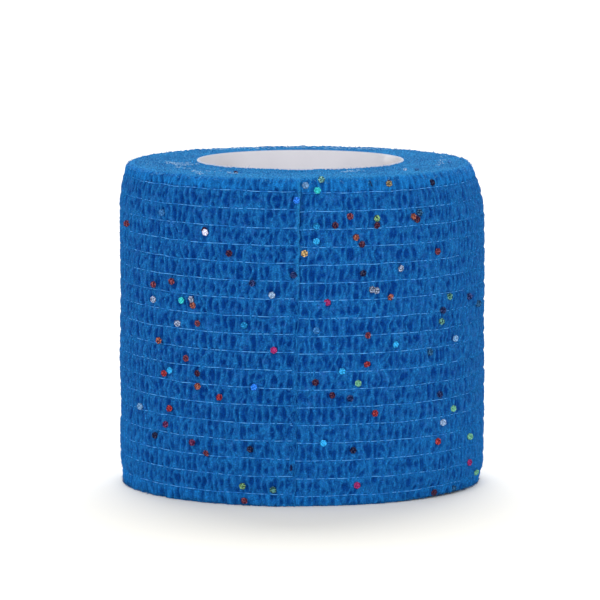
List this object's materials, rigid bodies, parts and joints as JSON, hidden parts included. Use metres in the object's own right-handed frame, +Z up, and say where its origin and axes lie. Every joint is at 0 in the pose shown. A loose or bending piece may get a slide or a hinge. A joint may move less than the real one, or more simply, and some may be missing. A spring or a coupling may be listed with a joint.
{
  "type": "cohesive bandage roll",
  "caption": "Crinkled elastic self-sticking bandage with glitter flakes, wound on a hollow core and standing on end.",
  "frame": {"origin": "on the core's axis, in the plane that the roll stands on", "axes": "+Z up along the core's axis; -Y is the side with the bandage's cut end"},
  "size_m": [0.0565, 0.0569, 0.0503],
  "materials": {
    "crepe_blue": "matt crinkled cloth",
    "core_grey": "smooth satin"
  },
  "bodies": {
    "root": {"bandage": "crepe_blue", "core": "core_grey"}
  },
  "joints": []
}
